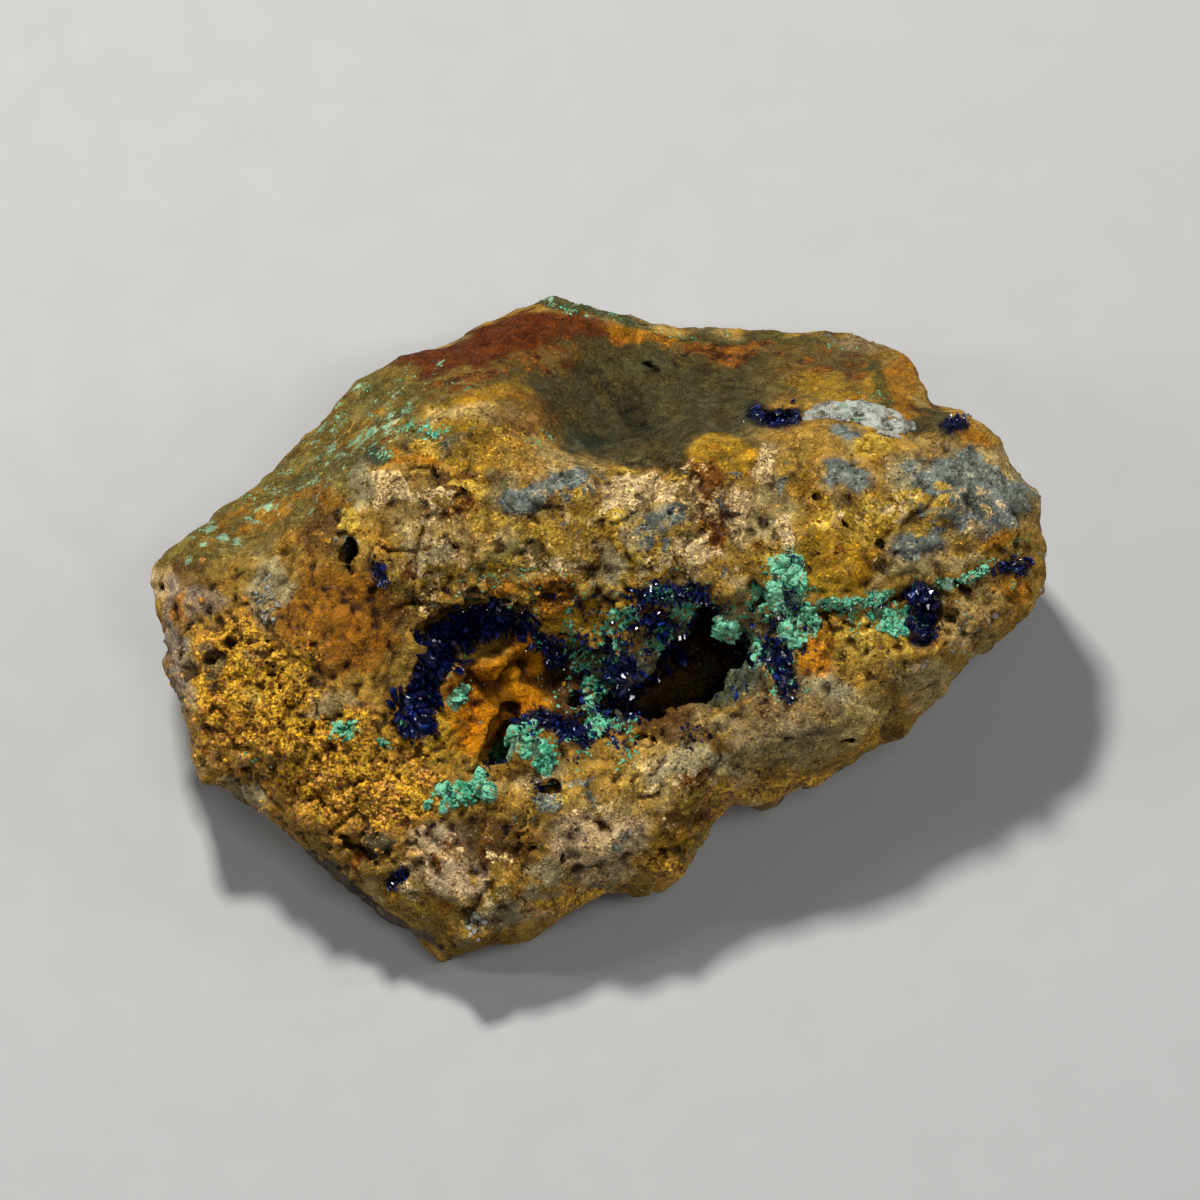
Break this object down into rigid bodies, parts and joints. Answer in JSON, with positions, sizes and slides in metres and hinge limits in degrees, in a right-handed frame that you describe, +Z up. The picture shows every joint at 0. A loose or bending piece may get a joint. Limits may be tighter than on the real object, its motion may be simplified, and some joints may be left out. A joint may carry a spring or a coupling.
{
  "type": "azurite specimen",
  "caption": "Display mineral specimen: broken limonite rock with an open cavity lined by blue azurite crystals and green malachite, lying on its flat back.",
  "frame": {"origin": "middle of the bounding box at the flat broken back, which is the resting plane", "axes": "+Z up, away from the resting plane; +X along the longest side; -Y towards the lower rim of the cavity"},
  "size_m": [0.0892, 0.0696, 0.0311],
  "materials": {
    "limonite_matrix": "rough weathered limonite and goethite, ochre to rust brown, with golden glints on the fresh crust",
    "azurite": "deep blue vitreous crystal blades",
    "malachite": "velvety mint green botryoidal crust",
    "quartz": "translucent grey-white crystalline quartz"
  },
  "bodies": {
    "root": {"matrix": "limonite_matrix", "azurite_left_arc": "azurite", "azurite_arc_wing": "azurite", "azurite_roof_fringe": "azurite", "azurite_curtain": "azurite", "azurite_cavity_wall": "azurite", "azurite_boss_crest": "azurite", "azurite_under_curtain": "azurite", "azurite_right_pocket": "azurite", "azurite_seam_end": "azurite", "azurite_top_pocket": "azurite", "azurite_cleft_spot": "azurite", "azurite_ball_pocket": "azurite", "azurite_ledge_spot": "azurite", "malachite_curtain": "malachite", "malachite_tongue": "malachite", "malachite_seam": "malachite", "malachite_seam_far": "malachite", "malachite_right_tuft": "malachite", "malachite_boss_crust": "malachite", "malachite_floor_buttons": "malachite", "malachite_floor_button": "malachite", "malachite_knob": "malachite", "malachite_cavity_wall": "malachite", "malachite_left_spray": "malachite", "malachite_left_spot": "malachite", "quartz_band": "quartz"}
  },
  "joints": []
}
